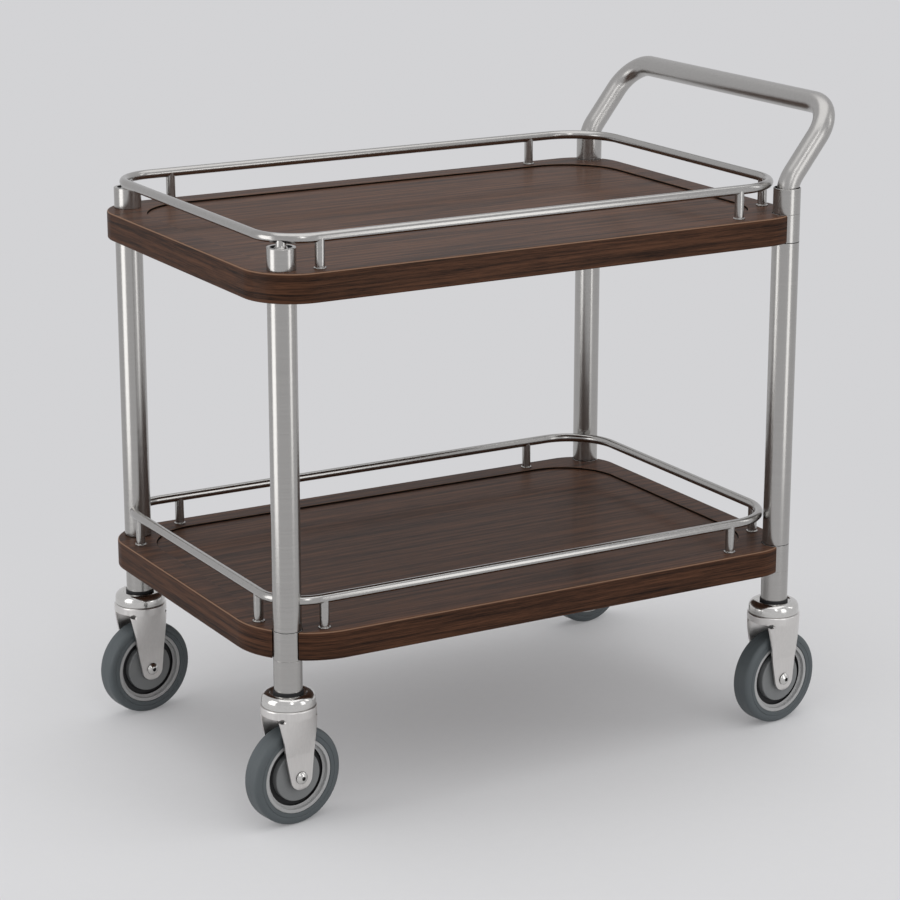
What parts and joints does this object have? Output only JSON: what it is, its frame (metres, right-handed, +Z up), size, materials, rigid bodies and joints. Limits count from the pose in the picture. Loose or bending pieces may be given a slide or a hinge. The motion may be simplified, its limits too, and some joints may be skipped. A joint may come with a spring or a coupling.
{
  "type": "two-tier service trolley",
  "caption": "Carving and service trolley: recessed wooden trays with guard rails on tube legs, bent push handle at one end, swivel casters.",
  "frame": {"origin": "on the floor, at half the overall length and on the centre line", "axes": "+X along the length towards the push handle, +Y to the back long side, +Z up"},
  "size_m": [0.8561, 0.535, 0.8322],
  "materials": {
    "walnut_border": "dark walnut, satin lacquer",
    "walnut_panel": "dark walnut, satin lacquer",
    "brushed_stainless": "fine brushed along the tube",
    "polished_stainless": "satin pressed sheet",
    "plain_steel": "plain",
    "plug_nylon": "black moulded nylon",
    "beech_dowel": "plain",
    "wheel_plastic": "moulded grey",
    "hub_plastic": "moulded grey",
    "tyre_rubber": "slate grey rubber",
    "seal_rubber": "black"
  },
  "bodies": {
    "trolley": {"upper_tray_board": "walnut_border", "lower_tray_board": "walnut_border", "upper_tray_panel": "walnut_panel", "lower_tray_panel": "walnut_panel", "leg_front_left": "brushed_stainless", "leg_back_left": "brushed_stainless", "leg_back_right": "brushed_stainless", "leg_front_right": "brushed_stainless", "foot_tube_front_left": "brushed_stainless", "foot_tube_back_left": "brushed_stainless", "foot_tube_back_right": "brushed_stainless", "foot_tube_front_right": "brushed_stainless", "upper_corner_sleeves": "brushed_stainless", "lower_corner_sleeves": "brushed_stainless", "corner_dowels": "beech_dowel", "leg_end_plugs": "plug_nylon", "foot_sockets": "plug_nylon", "tie_rods": "plain_steel", "free_end_collars": "brushed_stainless", "rail_necks": "brushed_stainless", "handle_collars": "brushed_stainless", "handle_plugs": "plug_nylon", "handle": "brushed_stainless", "upper_rail": "brushed_stainless", "lower_rail_long": "brushed_stainless", "lower_rail_short": "brushed_stainless", "upper_rail_posts": "brushed_stainless", "lower_rail_posts": "brushed_stainless", "upper_post_screws": "plain_steel", "lower_post_screws": "plain_steel", "caster_seals": "seal_rubber", "swivel_races": "plain_steel", "caster_head_front_left": "polished_stainless", "caster_head_back_left": "polished_stainless", "caster_head_back_right": "polished_stainless", "caster_head_front_right": "polished_stainless"},
    "swivel_front_left": {"fork_front_left": "polished_stainless", "axle_set_front_left": "polished_stainless"},
    "wheel_front_left": {"wheel_core_front_left": "wheel_plastic", "tyre_front_left": "tyre_rubber", "hub_caps_front_left": "hub_plastic"},
    "swivel_back_left": {"fork_back_left": "polished_stainless", "axle_set_back_left": "polished_stainless"},
    "wheel_back_left": {"wheel_core_back_left": "wheel_plastic", "tyre_back_left": "tyre_rubber", "hub_caps_back_left": "hub_plastic"},
    "swivel_back_right": {"fork_back_right": "polished_stainless", "axle_set_back_right": "polished_stainless"},
    "wheel_back_right": {"wheel_core_back_right": "wheel_plastic", "tyre_back_right": "tyre_rubber", "hub_caps_back_right": "hub_plastic"},
    "swivel_front_right": {"fork_front_right": "polished_stainless", "axle_set_front_right": "polished_stainless"},
    "wheel_front_right": {"wheel_core_front_right": "wheel_plastic", "tyre_front_right": "tyre_rubber", "hub_caps_front_right": "hub_plastic"}
  },
  "joints": [
    {"name": "swivel_front_left", "type": "hinge", "parent": "trolley", "child": "swivel_front_left", "pos_m": [-0.36895, -0.22, 0.1537], "axis": [0, 0, 1], "continuous": true},
    {"name": "wheel_front_left", "type": "hinge", "parent": "swivel_front_left", "child": "wheel_front_left", "pos_m": [-0.36499, -0.21944, 0.0625], "axis": [-0.1392, 0.9903, 0], "continuous": true},
    {"name": "swivel_back_left", "type": "hinge", "parent": "trolley", "child": "swivel_back_left", "pos_m": [-0.36895, 0.22, 0.1537], "axis": [0, 0, 1], "continuous": true},
    {"name": "wheel_back_left", "type": "hinge", "parent": "swivel_back_left", "child": "wheel_back_left", "pos_m": [-0.36499, 0.22056, 0.0625], "axis": [-0.1392, 0.9903, 0], "continuous": true},
    {"name": "swivel_back_right", "type": "hinge", "parent": "trolley", "child": "swivel_back_right", "pos_m": [0.34205, 0.233, 0.1537], "axis": [0, 0, 1], "continuous": true},
    {"name": "wheel_back_right", "type": "hinge", "parent": "swivel_back_right", "child": "wheel_back_right", "pos_m": [0.34601, 0.23356, 0.0625], "axis": [-0.1392, 0.9903, 0], "continuous": true},
    {"name": "swivel_front_right", "type": "hinge", "parent": "trolley", "child": "swivel_front_right", "pos_m": [0.34205, -0.233, 0.1537], "axis": [0, 0, 1], "continuous": true},
    {"name": "wheel_front_right", "type": "hinge", "parent": "swivel_front_right", "child": "wheel_front_right", "pos_m": [0.34601, -0.23244, 0.0625], "axis": [-0.1392, 0.9903, 0], "continuous": true}
  ]
}
